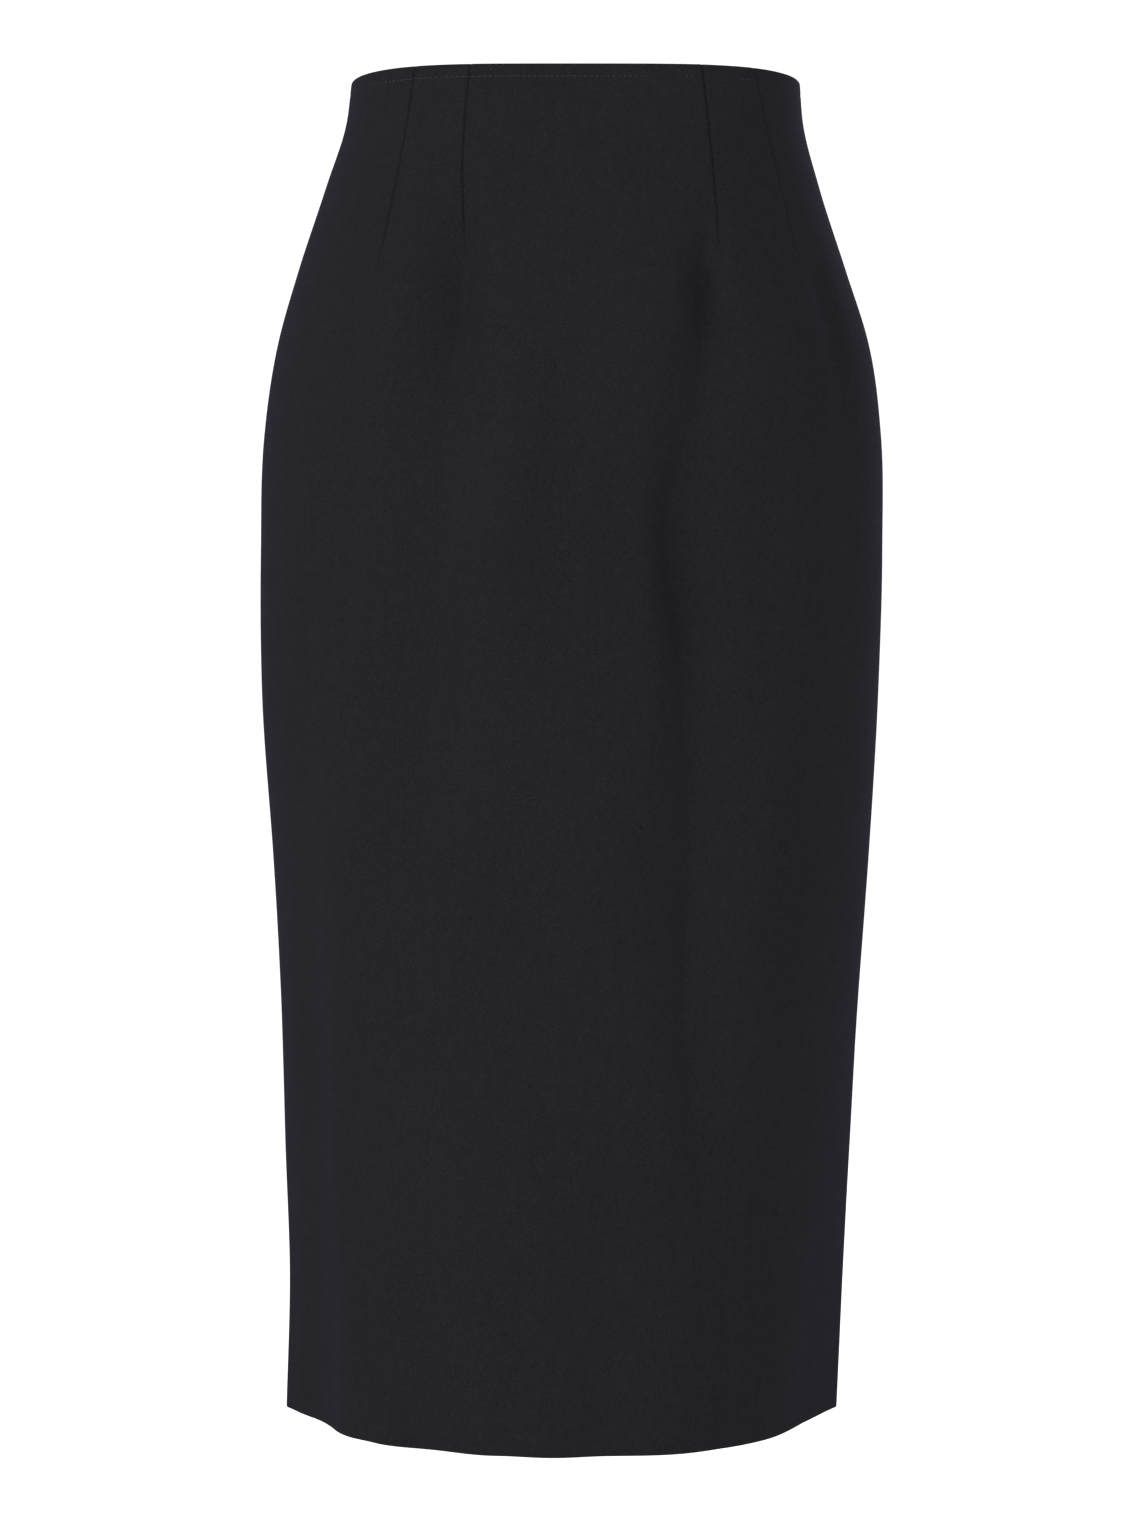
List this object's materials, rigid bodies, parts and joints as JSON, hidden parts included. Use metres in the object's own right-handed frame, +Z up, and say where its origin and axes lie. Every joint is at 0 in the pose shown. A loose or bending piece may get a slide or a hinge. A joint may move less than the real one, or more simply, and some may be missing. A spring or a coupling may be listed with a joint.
{
  "type": "pencil skirt",
  "caption": "High-waisted fitted pencil skirt, filled out as worn, with waist darts, a concealed back zip and a back vent.",
  "frame": {"origin": "centre of the opening at the waist edge, level with that edge at the side seams", "axes": "+Z up out of the waist, -Y towards the wearer's front, +X towards the wearer's left"},
  "size_m": [0.3387, 0.2485, 0.7245],
  "materials": {
    "cloth": "matt wool crepe",
    "zip_tape": "woven tape",
    "zip_coil": "satin nylon",
    "zip_metal": "black lacquer"
  },
  "bodies": {
    "skirt": {"front": "cloth", "back_left": "cloth", "back_right": "cloth", "zip_tape_left": "zip_tape", "zip_tape_right": "zip_tape", "zip_chain": "zip_coil", "zip_slider": "zip_metal"},
    "pull": {"zip_pull": "zip_metal"}
  },
  "joints": [
    {"name": "pull_swing", "type": "hinge", "parent": "skirt", "child": "pull", "pos_m": [-0.00735, 0.08654, -0.02012], "axis": [1, 0, 0], "range_deg": [0, 150]}
  ]
}
